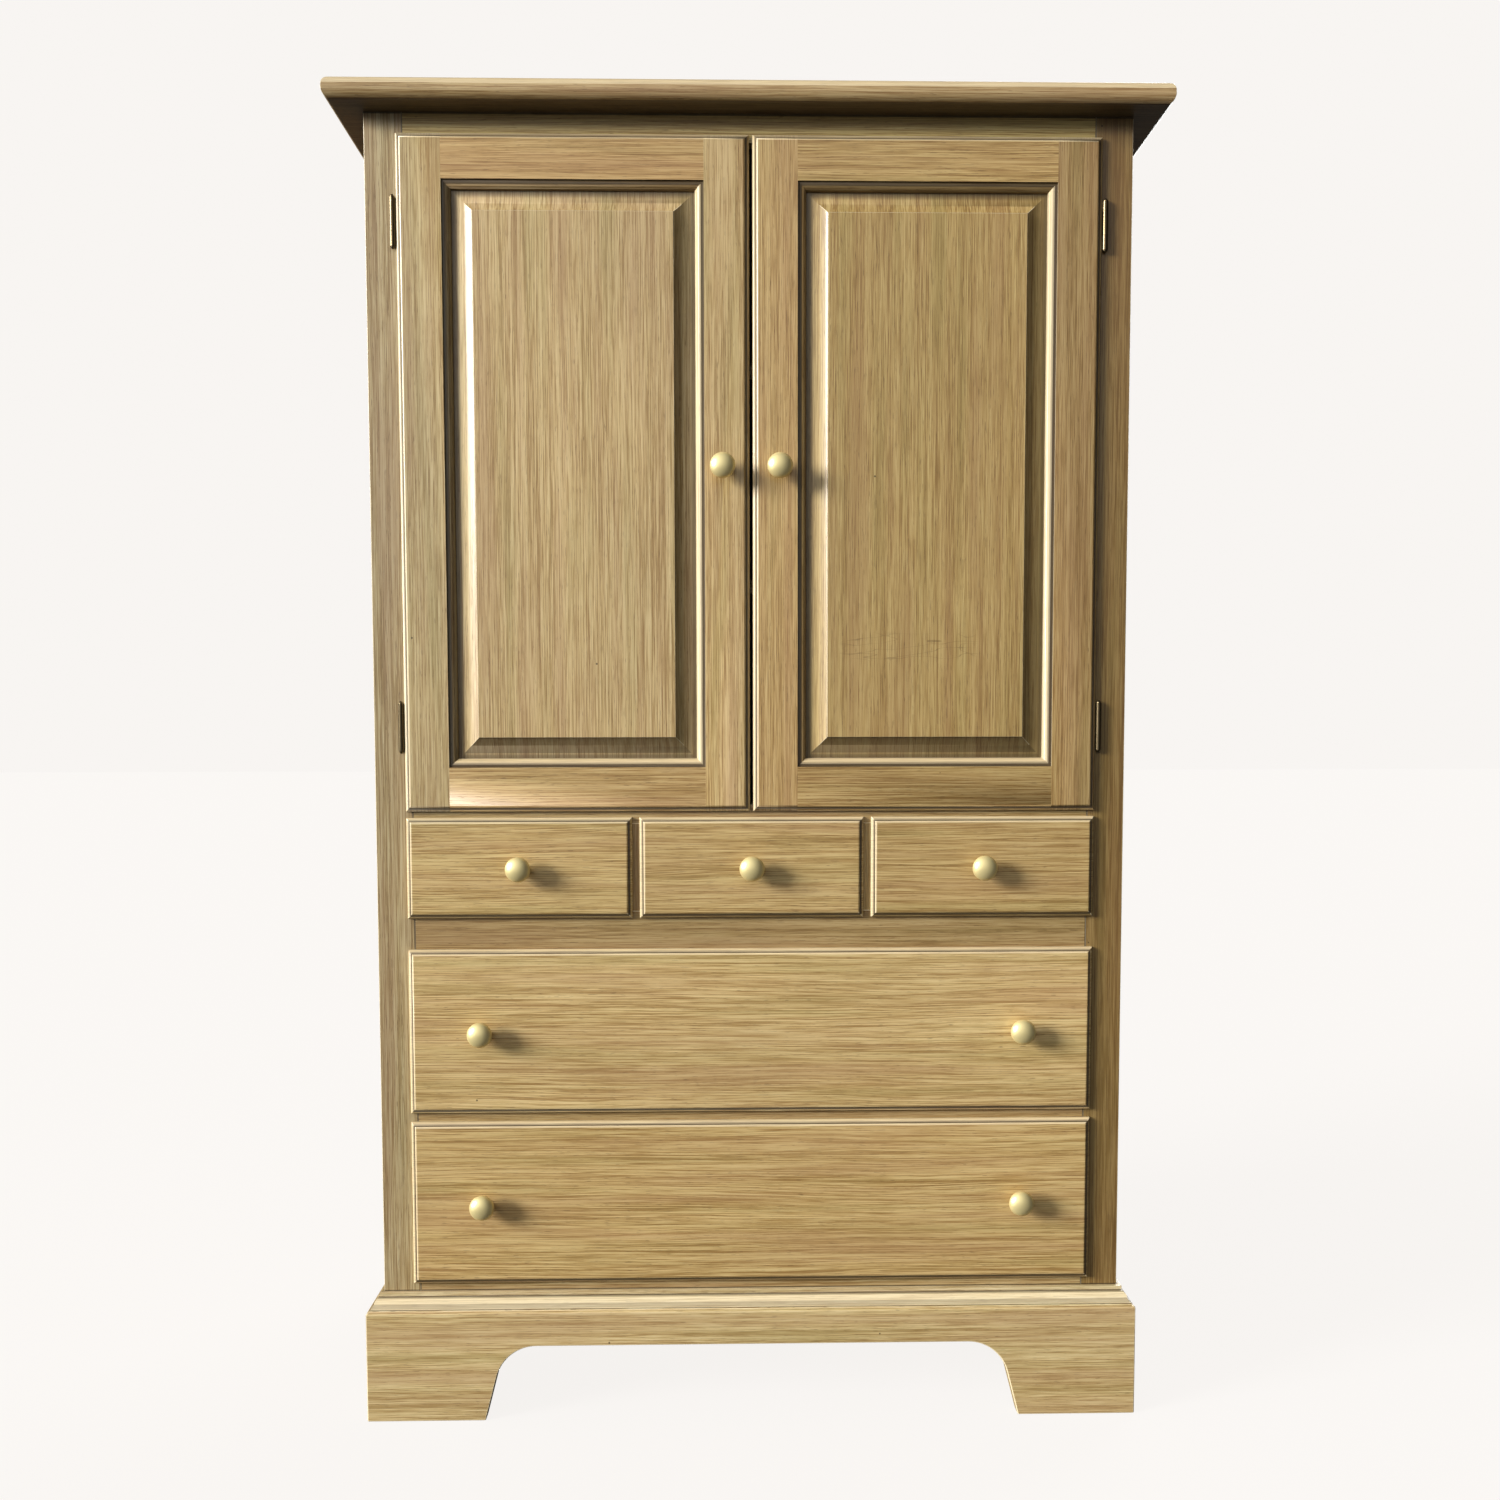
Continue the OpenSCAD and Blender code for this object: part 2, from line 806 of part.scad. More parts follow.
// section of the moulded edge, as [in, depth]; it starts inside the member's own wood
function sticking_points() = concat(
    [[-cut, front_in], [-cut, sticking_step - front_proj], [sticking_step, sticking_step - front_proj]],
    [
        for (i = [0 : arc_steps])
            let (angle = 90 * i / arc_steps)
                [sticking_step + (sticking_w - sticking_step) * sin(angle),
                 sticking_d - front_proj - (sticking_d - sticking_step) * cos(angle)]
    ],
    [[sticking_w, front_in]]
);

// strip of moulded edge with mitred ends, running upwards from the opening's corner
module sticking_strip(length) {
    intersection() {
        run_up(length)
            polygon(sticking_points());
        translate([0, -front_proj - cut, 0])
            run_along_y(door_t + 2 * cut)
                polygon([[-cut, 0], [0, 0], [sticking_w, sticking_w],
                         [sticking_w, length - sticking_w], [0, length], [-cut, length]]);
    }
}

// groove for the panel along the inside of a member whose opening edge is at along = 0
module groove(length) {
    translate([sticking_w - groove_d, sticking_d - front_proj, 0])
        cube([groove_d + cut, groove_t, length]);
}

// door stile drawn at the door's outer side, as high as the door
module door_stile() {
    color(wood)
        difference() {
            union() {
                intersection() {
                    door_blank();
                    span([0, -front_proj - cut, 0], [member_w, front_in + cut, door_h]);
                }
                translate([member_w, 0, member_w])
                    sticking_strip(door_h - 2 * member_w);
            }
            translate([member_w, 0, -cut])
                groove(door_h + 2 * cut);
        }
}

// door rail drawn at the door's foot, butted between the stiles
module door_rail_piece() {
    length = door_w - 2 * member_w;
    color(wood) {
        difference() {
            union() {
                intersection() {
                    door_blank();
                    span([member_w, -front_proj - cut, 0], [door_w - member_w, front_in + cut, member_w]);
                }
                translate([member_w, 0, member_w])
                    turned_strip(length)
                        sticking_strip(length);
            }
            translate([member_w - cut, 0, member_w])
                turned_strip(length + 2 * cut)
                    groove(length + 2 * cut);
        }
    }
}

// lays an upright strip down along +X with its moulded edge upwards
module turned_strip(length) {
    translate([length, 0, 0])
        rotate([0, -90, 0])
            children();
}

// raised panel: outline as [along, depth]; the field stands proud of a hollow bevel
function panel_end() =
    let (
        tongue_front = sticking_d - front_proj + tongue_play,
        field = field_back - front_proj,
        bevel_top = field + field_step
    )
    concat(
        [[0, tongue_front + groove_t - 2 * tongue_play], [0, tongue_front]],
        [
            for (i = [0 : arc_steps])
                let (
                    t = i / arc_steps,
                    rise = bevel_straight * t + (1 - bevel_straight) * t * t
                )
                    [tongue_w + bevel_w * t, tongue_front - (tongue_front - bevel_top) * rise]
        ],
        [[tongue_w + bevel_w, field]]
    );

function panel_outline(length) = concat(panel_end(), mirrored(panel_end(), length / 2));

module raised_panel() {
    side = member_w + sticking_w - tongue_w;
    panel_x = door_w - 2 * side;
    panel_z = door_h - 2 * side;
    color(wood_light)
        translate([side, 0, side])
            intersection() {
                run_up(panel_z)
                    polygon(panel_outline(panel_x));
                run_along_x(panel_x)
                    mirror_diagonal()
                        polygon(panel_outline(panel_z));
            }
}

// swaps a door's hinge side and lock side, or its foot and head
module flip_x(width) {
    translate([width, 0, 0])
        mirror([1, 0, 0])
            children();
}

module flip_z(height) {
    translate([0, 0, height])
        mirror([0, 0, 1])
            children();
}

// hole for a knob's screw, through a front from its face
module knob_hole(x, z) {
    translate([x, front_in + cut, z])
        rotate([90, 0, 0])
            cylinder(r = screw_r + hole_play, h = front_proj + front_in + 2 * cut);
}

module door_hinge_stile(side) {
    door_place(side)
        door_stile();
}

module door_lock_stile(side) {
    door_place(side)
        difference() {
            flip_x(door_w)
                door_stile();
            knob_hole(door_w - door_knob_in, door_knob_z);
        }
}

module door_bottom_rail(side) {
    door_place(side)
        door_rail_piece();
}

module door_top_rail(side) {
    door_place(side)
        flip_z(door_h)
            door_rail_piece();
}

module door_panel(side) {
    door_place(side)
        raised_panel();
}

// ---- knobs ----

// round knob on a rose, standing out from a front, and the screw that holds it
module knob_with_screw() {
    ball = [
        for (i = [0 : arc_steps * 2])
            let (angle = (90 + knob_waist) * i / (arc_steps * 2) - knob_waist)
                [knob_r * cos(angle), ball_y + ball_half * sin(angle)]
    ];
    rotate([90, 0, 0])
        difference() {
            rotate_extrude()
                polygon(concat(
                    [[0, 0], [rose_r, 0], [rose_r, rose_t / 2], [rose_r - rose_t / 2, rose_t],
                     [neck_r, rose_t + neck_rise]],
                    ball
                ));
            translate([0, 0, -cut])
                cylinder(r = screw_r + pin_fit, h = screw_bite + 2 * cut);
        }
    shank = front_proj + front_in;
    rotate([-90, 0, 0]) {
        translate([0, 0, -screw_bite])
            cylinder(r = screw_r, h = screw_bite + shank + screw_head_t / 2);
        translate([0, 0, shank])
            cylinder(r = screw_head_r, h = screw_head_t);
    }
}

module door_knob(side) {
    color(brass)
        door_place(side)
            translate([door_w - door_knob_in, -front_proj, door_knob_z])
                knob_with_screw();
}

// ---- drawers ----

// front drawn around its middle, at the face plane, with its foot at z = 0
module drawer_front(width, height, knob_offsets) {
    color(wood)
        difference() {
            translate([-width / 2, 0, 0])
                lipped_board(width, height, 0, lip_over + drawer_fit);
            for (x = knob_offsets)
                knob_hole(x, height / 2);
        }
}

// side, back and bottom boards as separate solids; z = 0 is the opening's lower edge
module drawer_box(width, open_h) {
    height = open_h - box_drop;
    half = width / 2;
    inside = half - box_t;
    bottom_top = box_bottom_z + box_bottom_t;
    color(wood_inside)
        translate([0, front_in, box_lift]) {
            both_sides()
                difference() {
                    span([inside, 0, 0], [half, box_len, height]);
                    span([inside - cut, -cut, box_bottom_z],
                         [inside + box_groove, box_len + cut, bottom_top]);
                }
            span([-inside + glue, box_len - box_t, bottom_top + glue], [inside - glue, box_len, height]);
            span([-inside - box_groove + glue, 0, box_bottom_z + glue],
                 [inside + box_groove - glue, box_len, bottom_top - glue]);
        }
}

// puts drawer parts, drawn around the front's middle, in their place
module drawer_place(x, z) {
    translate([x, face_y, z])
        children();
}

module drawer_knobs(height, knob_offsets) {
    color(brass)
        for (x = knob_offsets)
            translate([x, -front_proj, height / 2])
                knob_with_screw();
}

// column -1, 0 and 1 are the left, middle and right small drawers
module small_front(column) {
    drawer_place(column * small_pitch, small_z)
        drawer_front(small_w, small_h, [0]);
}

module small_box(column) {
    drawer_place(column * small_pitch, small_rail_top)
        drawer_box(small_box_w, small_open_h);
}

module small_knob(column) {
    drawer_place(column * small_pitch, small_z)
        drawer_knobs(small_h, [0]);
}

module large_front(z) {
    drawer_place(0, z)
        drawer_front(front_w, large_h, [-large_knob_x, large_knob_x]);
}

module large_box(z) {
    drawer_place(0, z)
        drawer_box(large_box_w, large_open_h);
}

module large_knobs(z) {
    drawer_place(0, z)
        drawer_knobs(large_h, [-large_knob_x, large_knob_x]);
}

top_slab();
side_panel(-1);  // side_panel_left
side_panel(1);  // side_panel_right
back_panel();
face_stile(-1);  // face_stile_left
face_stile(1);  // face_stile_right
frame_rail(top_rail_z, case_top);  // top_rail
frame_rail(door_rail_z, door_rail_top);  // door_rail
frame_rail(small_rail_z, small_rail_top);  // small_drawer_rail
frame_rail(large_rail_z, large_rail_top);  // large_drawer_rail
frame_rail(case_foot_z, bottom_rail_top);  // bottom_rail
drawer_dividers();
case_board(door_rail_top);  // cupboard_floor
dust_panels();
case_board(bottom_rail_top);  // case_bottom
shelves();
shelf_pins();
drawer_guides();
drawer_kickers();
top_cleats();
base_front();
base_side(-1);  // base_side_left
base_side(1);  // base_side_right
base_back();
base_moulding();
foot_blocks();
frame_hinge_leaves();
hinge_pins();
door_catches();
door_hinge_stile(-1);  // left_door_hinge_stile
door_lock_stile(-1);  // left_door_lock_stile
door_top_rail(-1);  // left_door_top_rail
door_bottom_rail(-1);  // left_door_bottom_rail
door_panel(-1);  // left_door_panel
door_hinge_leaves(-1);  // left_door_hinge_leaves
door_knob(-1);  // left_door_knob
door_strike(-1);  // left_door_strike
door_hinge_stile(1);  // right_door_hinge_stile
door_lock_stile(1);  // right_door_lock_stile
door_top_rail(1);  // right_door_top_rail
door_bottom_rail(1);  // right_door_bottom_rail
door_panel(1);  // right_door_panel
door_hinge_leaves(1);  // right_door_hinge_leaves
door_knob(1);  // right_door_knob
door_strike(1);  // right_door_strike
small_front(-1);  // small_drawer_left_front
small_box(-1);  // small_drawer_left_box
small_knob(-1);  // small_drawer_left_knob
small_front(0);  // small_drawer_middle_front
small_box(0);  // small_drawer_middle_box
small_knob(0);  // small_drawer_middle_knob
small_front(1);  // small_drawer_right_front
small_box(1);  // small_drawer_right_box
small_knob(1);  // small_drawer_right_knob
large_front(large1_z);  // upper_large_drawer_front
large_box(large_rail_top);  // upper_large_drawer_box
large_knobs(large1_z);  // upper_large_drawer_knobs
large_front(large2_z);  // lower_large_drawer_front
large_box(bottom_rail_top);  // lower_large_drawer_box
large_knobs(large2_z);  // lower_large_drawer_knobs
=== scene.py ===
import json
import math

import bmesh
import bpy
from mathutils import Matrix, Vector


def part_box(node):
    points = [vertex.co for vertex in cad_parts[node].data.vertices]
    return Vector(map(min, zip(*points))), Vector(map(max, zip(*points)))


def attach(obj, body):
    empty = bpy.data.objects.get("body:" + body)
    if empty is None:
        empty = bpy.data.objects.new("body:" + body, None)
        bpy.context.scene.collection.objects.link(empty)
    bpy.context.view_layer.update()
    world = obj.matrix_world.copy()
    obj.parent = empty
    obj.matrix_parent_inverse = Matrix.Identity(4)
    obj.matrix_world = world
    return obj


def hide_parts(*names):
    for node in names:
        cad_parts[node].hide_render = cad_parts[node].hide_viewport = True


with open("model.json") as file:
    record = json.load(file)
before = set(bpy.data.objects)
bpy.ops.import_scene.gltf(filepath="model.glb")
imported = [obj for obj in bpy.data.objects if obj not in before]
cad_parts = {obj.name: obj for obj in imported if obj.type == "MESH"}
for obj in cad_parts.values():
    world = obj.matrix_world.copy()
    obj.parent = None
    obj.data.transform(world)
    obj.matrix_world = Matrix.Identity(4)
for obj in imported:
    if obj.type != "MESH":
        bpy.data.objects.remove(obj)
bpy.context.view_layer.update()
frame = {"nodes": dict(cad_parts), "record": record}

# ---- viewpoint ----
# A camera at about half the armoire's height, 4 cm left of its middle and tipped a little down,
# with the picture slid upwards so that the whole armoire stands in it.
mm = 0.001
face_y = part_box("face_stile_left")[0].y
turn, dip, roll = (math.radians(a) for a in (1.164, 3.577, -0.097))
eye_x, eye_distance, eye_height = -40.7 * mm, 1897.1 * mm, 948.7 * mm
ahead = Vector((math.sin(turn) * math.cos(dip), math.cos(turn) * math.cos(dip), -math.sin(dip)))
level = Vector((math.cos(turn), -math.sin(turn), 0))
sideways = level * math.cos(roll) + level.cross(ahead) * math.sin(roll)
upwards = sideways.cross(ahead)
eye = bpy.data.objects.new("eye", bpy.data.cameras.new("eye"))
bpy.context.collection.objects.link(eye)
eye.matrix_world = Matrix.Translation((eye_x, face_y - eye_distance, eye_height)) @ Matrix(
    (sideways, upwards, -ahead)).transposed().to_4x4()
eye.data.sensor_width = 36
eye.data.lens = 33.566
eye.data.shift_y = 0.0445
eye.data.clip_start, eye.data.clip_end = 0.05, 100
bpy.context.scene.camera = eye
bpy.context.scene.view_settings.view_transform = "Standard"


# ---- studio ----
# A pale floor that runs on into a pale room, one key light high on the left in front, and
# weak fill. Floor and room are even and bright to look at but give off little light.
class Maths:
    """An output of a shader node, so that node maths can be written as an expression."""

    def __init__(self, tree, socket=None):
        self.tree, self.socket = tree, socket

    def node(self, kind, settings, inputs, output=0):
        made = self.tree.nodes.new(kind if "Node" in kind else "ShaderNode" + kind)
        for key, setting in settings.items():
            if key == "stops":
                for stop in setting[2:]:
                    made.color_ramp.elements.new(stop[0])
                for stop, at in zip(setting, made.color_ramp.elements):
                    at.position, at.color = stop[0], (*stop[1], 1)
            else:
                setattr(made, key, setting)
        for key, value in inputs.items():
            if isinstance(value, Maths):
                self.tree.links.new(value.socket, made.inputs[key])
            else:
                made.inputs[key].default_value = value
        return Maths(self.tree, made.outputs[output] if len(made.outputs) else None)

    def maths(self, operation, *terms):
        return self.node("Math", {"operation": operation}, dict(enumerate(terms)))

    def __abs__(self):
        return self.maths("ABSOLUTE", self)

    def __add__(self, other):
        return self.maths("ADD", self, other)

    def __sub__(self, other):
        return self.maths("SUBTRACT", self, other)

    def __rsub__(self, other):
        return self.maths("SUBTRACT", other, self)

    def __mul__(self, other):
        return self.maths("MULTIPLY", self, other)

    def __truediv__(self, other):
        return self.maths("DIVIDE", self, other)

    def __gt__(self, other):
        return self.maths("GREATER_THAN", self, other)

    __radd__ = __add__
    __rmul__ = __mul__

    def between(self, low, high):
        """0 below low, 1 above high, with a soft step."""
        return self.node("MapRange", {"interpolation_type": "SMOOTHSTEP"},
                         {"Value": self, "From Min": low, "From Max": high})

    def blend(self, under, over):
        """Two colours, mixed by this value."""
        return self.node("Mix", {"data_type": "RGBA"}, {0: self, 6: under, 7: over}, 2)


def blank(owner):
    """A material's or a room's nodes, emptied and ready to be built."""
    owner.use_nodes = True
    owner.node_tree.nodes.clear()
    return Maths(owner.node_tree)


def colour(red, green, blue):
    """A colour from the numbers that a paint card gives, 0 to 255."""
    return (*(((c / 255 + 0.055) / 1.055) ** 2.4 for c in (red, green, blue)), 1)


room_colour = colour(249, 246, 243)
reach = 30
floor_sheet = bpy.data.meshes.new("floor")
floor_sheet.from_pydata([(-reach, -reach, 0), (reach, -reach, 0), (reach, reach, 0),
                         (-reach, reach, 0)], [], [(0, 1, 2, 3)])
floor = bpy.data.objects.new("floor", floor_sheet)
bpy.context.collection.objects.link(floor)
floor_finish = bpy.data.materials.new("floor")
under = blank(floor_finish)
seen = under.node("LightPath", {}, {}, "Is Camera Ray")
shadowed = under.node("BsdfDiffuse", {}, {"Color": (0.05, 0.049, 0.048, 1)})
lit = under.node("Emission", {}, {"Color": room_colour, "Strength": 0.955})
both = under.node("AddShader", {}, {0: shadowed, 1: lit})
dull = under.node("BsdfDiffuse", {}, {"Color": (0.08, 0.078, 0.075, 1)})
shown = under.node("MixShader", {}, {0: seen, 1: dull, 2: both})
under.node("OutputMaterial", {}, {"Surface": shown})
floor_sheet.materials.append(floor_finish)

room = bpy.data.worlds.new("room")
bpy.context.scene.world = room
air = blank(room)
seen = air.node("LightPath", {}, {}, "Is Camera Ray")
bright_side = (-0.62, -0.62, 0.48)
dark_air, bright_air = (0.018, 0.019, 0.021, 1), (0.9, 0.89, 0.87, 1)
facing = air.node("VectorMath", {"operation": "DOT_PRODUCT"},
                  {0: air.node("TexCoord", {}, {}, "Generated"), 1: bright_side}, "Value")
glow = facing.between(0.35, 1.0).blend(dark_air, bright_air)
plain = air.node("Background", {}, {"Color": glow, "Strength": 1.0})
white = air.node("Background", {}, {"Color": room_colour, "Strength": 0.99})
shown = air.node("MixShader", {}, {0: seen, 1: plain, 2: white})
air.node("OutputWorld", {}, {"Surface": shown})


def lamp(name, travel, strength, spread, tint=(1, 1, 1)):
    """A light far away whose rays travel along a direction."""
    light = bpy.data.objects.new(name, bpy.data.lights.new(name, "SUN"))
    light.data.energy, light.data.angle, light.data.color = strength, math.radians(spread), tint
    light.rotation_euler = Vector(travel).to_track_quat("-Z", "Y").to_euler()
    bpy.context.collection.objects.link(light)


lamp("key", (2.2, 1, -0.78), 5.5, 20, (1.0, 0.98, 0.95))
lamp("front_fill", (0.15, 1, -0.3), 0.17, 50)
lamp("back_fill", (-1, -1.6, -0.9), 2.1, 40)


# ---- case ----
# Solid oak: two side panels behind a face frame of stiles and rails, glued and pegged, with a
# thin back let into a rabbet. All outer wood is finished with a honey stain, a thin brown
# glaze left in the corners and wiped off the edges, and a satin varnish. The brown in corners,
# recesses and seams and on faces turned down and to the right is partly that glaze and partly
# painted shade; the cream on edges and on faces turned up and to the left is partly wear and
# partly painted highlight.
front_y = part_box("left_door_hinge_stile")[0].y
home = {node: body for body, nodes in frame["record"]["behaviour"]["bodies"].items()
        for node in nodes}
# The edge colour is partly worn wood and partly painted highlight; the glaze colour is partly a real
# glaze and partly painted shade.
honey = {"dark": colour(150, 118, 70), "mid": colour(190, 160, 108), "light": colour(212, 187, 138),
         "rosy": colour(176, 140, 102), "olive": colour(160, 146, 92), "pore": colour(98, 74, 40),
         "edge": colour(244, 228, 190), "glaze": colour(44, 32, 14)}


def wood(name, grain, tones, gloss=0.40, coat=0.30, recesses=(), seams_and_shade_lines=(), wander=7 * mm,
         scratched=False):
    """Oak with its grain along x, y or z. Faces carry board, arris-and-highlight and glaze-and-shade
    numbers and a tone: partly wear and a brown glaze, partly painted highlight and painted shade.
    A recess gives the depths behind the fronts where the glaze and painted shade starts, is full,
    thins and ends, and its amount; a seam or shade line is an axis, a place on either side, a reach
    from it, and its amount."""
    finish = bpy.data.materials.new(name)
    m = blank(finish)
    board, arris, glaze = (m.node("Attribute", {"attribute_name": part}, {}, "Fac")
                           for part in ("board", "arris", "glaze"))
    spot = m.node("TexCoord", {}, {}, "Object")
    # Darker in the recesses behind the fronts: partly glaze, partly painted shade in corners and gaps.
    for start, full, thin, end, amount in recesses:
        behind = m.node("SeparateXYZ", {}, {0: spot}, "Y") - front_y
        pooled_and_shaded = behind.between(start * mm, full * mm) * behind.between(end * mm, thin * mm)
        glaze = glaze.maths("MAXIMUM", glaze, pooled_and_shaded * (1 - arris * 0.8) * amount)
    # Darker along seams and steps: partly dark joints, partly painted shade and painted shadow.
    for axis, seam, reach, amount in seams_and_shade_lines:
        off = abs(abs(m.node("SeparateXYZ", {}, {0: spot}, axis)) - seam)
        glaze = glaze.maths("MAXIMUM", glaze, off.between(reach, reach * 0.55) * amount)

    # Each board is cut from another place in the wood, and each face shows the grain its own way.
    log_x, log_y, log_z = 31.7, 17.3, 23.9
    cut_from = m.node("CombineXYZ", {}, {0: board * log_x, 1: board * log_y, 2: board * log_z})
    place = m.node("VectorMath", {"operation": "ADD"}, {0: spot, 1: cut_from})
    axes = {"x": "XZY", "y": "YZX", "z": "ZXY"}[grain]
    along, wide, thick = (m.node("SeparateXYZ", {}, {0: place}, axis) for axis in axes)
    facing = m.node("TexCoord", {}, {}, "Normal")
    on_wide, on_thick = (m.node("SeparateXYZ", {}, {0: facing}, axis) for axis in axes[1:])
    turned_over = abs(on_wide) > abs(on_thick)
    across = wide + (thick - wide) * turned_over
    deep = thick + (wide - thick) * turned_over
    slowing = 12

    def streaks(width, length, detail, sideways=across, seed=0.0, rough=0.5):
        """Noise drawn out along the grain into streaks of that width and length, which change
        more slowly through the board's thickness than across it."""
        at = m.node("CombineXYZ", {}, {0: sideways / width + seed, 1: deep / (width * slowing),
                                       2: along / length})
        return m.node("TexNoise", {}, {"Vector": at, "Scale": 1.0, "Detail": detail,
                                       "Roughness": rough})

    sway = streaks(90 * mm, 700 * mm, 2)
    bent = across + (sway - 0.5) * wander
    figure = streaks(7 * mm, 650 * mm, 2, bent, 3.1)
    band = streaks(1.5 * mm, 280 * mm, 3, bent, 7.7, 0.62)
    fibre = streaks(0.7 * mm, 60 * mm, 2, bent, 1.9, 0.6)
    vessel = streaks(0.9 * mm, 14 * mm, 1, bent, 5.3)
    cloud = streaks(120 * mm, 380 * mm, 2, across, 9.4)
    tint = streaks(26 * mm, 500 * mm, 2, across, 2.2)
    pores = vessel.between(0.60, 0.70) * band.between(0.62, 0.42)
    tone = figure * 0.30 + band * 0.50 + fibre * 0.80 - 0.30
    body = m.node("ValToRGB", {"stops": [(0.39, tones["dark"][:3]), (0.50, tones["mid"][:3]),
                                         (0.61, tones["light"][:3])]}, {0: tone})
    body = (tint.between(0.45, 0.72) * 0.40).blend(body, tones["rosy"])
    body = (tint.between(0.50, 0.25) * 0.35).blend(body, tones["olive"])
    lot = board * 7.31
    shade = (cloud - 0.5) * 0.26 + (lot.maths("FRACT", lot) - 0.5) * 0.14 + 1.0
    grey = m.node("CombineColor", {}, {0: shade, 1: shade, 2: shade})
    # Each piece's tone, partly the board's own colour and partly painted light: pieces darkened or
    # lightened for how the light falls on them.
    tone_with_painted_light = m.node("Attribute", {"attribute_name": "tone"}, {}, "Color")
    for stain in (grey, tone_with_painted_light):
        body = m.node("Mix", {"data_type": "RGBA", "blend_type": "MULTIPLY"},
                      {0: 1.0, 6: body, 7: stain}, 2)
    body = (pores * 0.55).blend(body, tones["pore"])
    fleck_scale, fleck_size, fleck_edge, without = 21.0, 0.034, 0.012, 0.78
    dots = m.node("TexVoronoi", {}, {"Vector": place, "Scale": fleck_scale}, "Distance")
    chosen = m.node("TexVoronoi", {}, {"Vector": place, "Scale": fleck_scale}, "Color")
    chosen = m.node("SeparateColor", {}, {0: chosen}, 0) > without
    fleck = (fleck_size - dots).between(0.0, fleck_edge) * chosen
    body = (fleck * 0.8).blend(body, tones["glaze"])
    if scratched:
        sx, sz = (m.node("SeparateXYZ", {}, {0: spot}, axis) for axis in "XZ")
        hair = m.node("TexNoise", {}, {"Vector": m.node("CombineXYZ", {}, {0: sx * 16, 2: sz * 90}),
                                       "Scale": 1.0, "Detail": 1.0})
        near = sx.between(110 * mm, 150 * mm) * sx.between(320 * mm, 280 * mm)
        near = near * sz.between(1035 * mm, 1048 * mm) * sz.between(1082 * mm, 1068 * mm)
        thinness = 0.012
        scratch = (thinness - abs(hair - 0.5)).between(0.0, thinness) * near
        body = (scratch * 0.5).blend(body, tones["pore"])
    # Cream on eased edges and on faces turned up and to the left: partly wear, partly painted
    # highlight.
    body = (arris * (fibre * 0.4 + 0.60)).blend(body, tones["edge"])
    # Brown in corners, recesses and seams and on faces turned down and to the right: partly a real
    # glaze, partly painted shade.
    body = (glaze * (band * 0.25 + 0.80)).blend(body, tones["glaze"])
    rough = (0.5 - band) * 0.22 + pores * 0.15 + glaze * 0.18 - arris * 0.06 + gloss
    relief = fibre * 0.35 + band * 0.35 - pores * 0.8
    bump = m.node("Bump", {}, {"Strength": 0.22, "Distance": 0.35 * mm, "Height": relief})
    surface = m.node("BsdfPrincipled", {}, {
        "Base Color": body, "Roughness": rough, "Normal": bump, "IOR": 1.5,
        "Coat Weight": coat, "Coat Roughness": 0.22, "Coat IOR": 1.5})
    m.node("OutputMaterial", {}, {"Surface": surface})
    return finish


crease = math.radians(50)


def shaped(node, finish, arris=0.7 * mm, quirk=1.0 * mm, name="wood", tone=(1, 1, 1),
           painted_light=()):
    """One CAD node as it leaves the bench: edges eased and glaze standing in its corners; the eased
    edges are marked cream as wear and painted highlight, the corners brown as glaze and painted
    shade. A painted light entry is a mark, a direction, how nearly a face must look that way to
    carry it, and its amount: painted highlight or painted shade on the faces turned that way."""
    made = bmesh.new()
    made.from_mesh(frame["nodes"][node].data)
    bmesh.ops.remove_doubles(made, verts=made.verts, dist=0.004 * mm)
    bmesh.ops.dissolve_limit(made, angle_limit=math.radians(0.3), verts=made.verts,
                             edges=made.edges)
    marks = {part: made.faces.layers.float.new(part) for part in ("board", "arris", "glaze")}
    toned = made.faces.layers.float_vector.new("tone")
    corner, short, small = math.radians(28), 3 * mm, 30 * mm * mm
    # Concave edges get a strip marked for glaze and painted shade, convex edges one marked for wear and
    # painted highlight.
    for part, width, steps, side in (("glaze", quirk, 1, -1), ("arris", arris, 2, 1)):
        if not width:
            continue
        edges = [e for e in made.edges if len(e.link_faces) == 2
                 and e.calc_face_angle_signed(0) * side > corner
                 and (e.calc_length() > short or min(f.calc_area() for f in e.link_faces) > small)]
        strips = bmesh.ops.bevel(made, geom=edges, offset=width, offset_type="OFFSET",
                                 segments=steps, profile=0.5, affect="EDGES", clamp_overlap=True,
                                 material=-1)
        for face in strips["faces"]:
            face[marks[part]] = 1
    left, number = set(made.faces), sorted(frame["nodes"]).index(node) * 0.618
    for first in made.faces:
        if first not in left:
            continue
        left.remove(first)
        group = [first]
        for face in group:
            face[marks["board"]] = number % 1
            near = {f for e in face.edges for f in e.link_faces} & left
            left -= near
            group += near
        number += 0.377
    for face in made.faces:
        face.smooth = True
        face[toned] = tone
        # Painted highlight and painted shade on the faces turned the given ways.
        for part, way, least, amount in painted_light:
            if face.normal.dot(Vector(way).normalized()) > least:
                face[marks[part]] = max(face[marks[part]], amount)
    mesh = bpy.data.meshes.new(f"{node}_{name}")
    made.to_mesh(mesh)
    made.free()
    mesh.set_sharp_from_angle(angle=crease)
    piece = bpy.data.objects.new(f"{node}_{name}", mesh)
    bpy.context.collection.objects.link(piece)
    even = piece.modifiers.new("even", "WEIGHTED_NORMAL")
    even.keep_sharp, even.weight = True, 100
    mesh.materials.append(finish)
    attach(piece, home[node])
    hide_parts(node)


case_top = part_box("top_slab")[0].z
moulding_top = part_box("base_moulding")[1].z
rail_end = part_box("top_rail")[1].x
